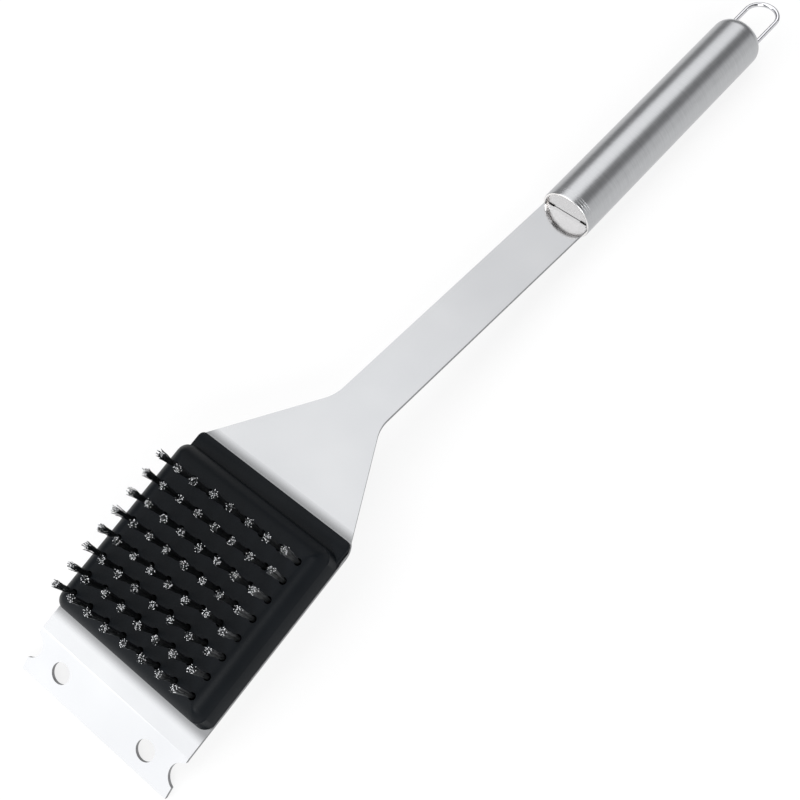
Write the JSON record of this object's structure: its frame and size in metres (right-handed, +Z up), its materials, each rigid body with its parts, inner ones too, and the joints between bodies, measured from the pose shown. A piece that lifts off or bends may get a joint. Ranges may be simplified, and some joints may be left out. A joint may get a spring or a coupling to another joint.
{
  "type": "grill cleaning brush",
  "caption": "Long-handled grill cleaning brush: a bent steel blade carries a block of wire tufts and ends in a notched scraper, with a tubular handle and a wire hang loop.",
  "frame": {"origin": "centre of the bounding box at the level the brush lies on, bristles up", "axes": "+X from the scraper to the hang loop, +Y across the brush, +Z up on the bristle side; the brush mirrors across the XZ plane"},
  "size_m": [0.4564, 0.081, 0.0619],
  "materials": {
    "satin_sheet": "satin rolled sheet",
    "brushed_handle": "fine lengthwise brushed",
    "polished_cap": "bright, lightly polished",
    "black_plastic": "fine moulded texture",
    "bristle_wire": "drawn fine wire, cut tips",
    "plated_steel": "zinc plated",
    "chrome_wire": "bright polished"
  },
  "bodies": {
    "brush": {"steel_blade": "satin_sheet", "brush_block": "black_plastic", "tuft_row_1": "bristle_wire", "tuft_row_2": "bristle_wire", "tuft_row_3": "bristle_wire", "tuft_row_4": "bristle_wire", "tuft_row_5": "bristle_wire", "tuft_row_6": "bristle_wire", "tuft_row_7": "bristle_wire", "tuft_row_8": "bristle_wire", "anchor_row_1": "plated_steel", "anchor_row_2": "plated_steel", "anchor_row_3": "plated_steel", "anchor_row_4": "plated_steel", "anchor_row_5": "plated_steel", "anchor_row_6": "plated_steel", "anchor_row_7": "plated_steel", "anchor_row_8": "plated_steel", "block_screws": "plated_steel", "handle_tube": "brushed_handle", "front_cap": "polished_cap", "rear_cap": "brushed_handle"},
    "loop": {"hang_loop": "chrome_wire"}
  },
  "joints": [
    {"name": "loop_slide", "type": "slide", "parent": "brush", "child": "loop", "axis": [0.9998, 0, -0.0204], "range_m": [-0.014, 0]}
  ]
}
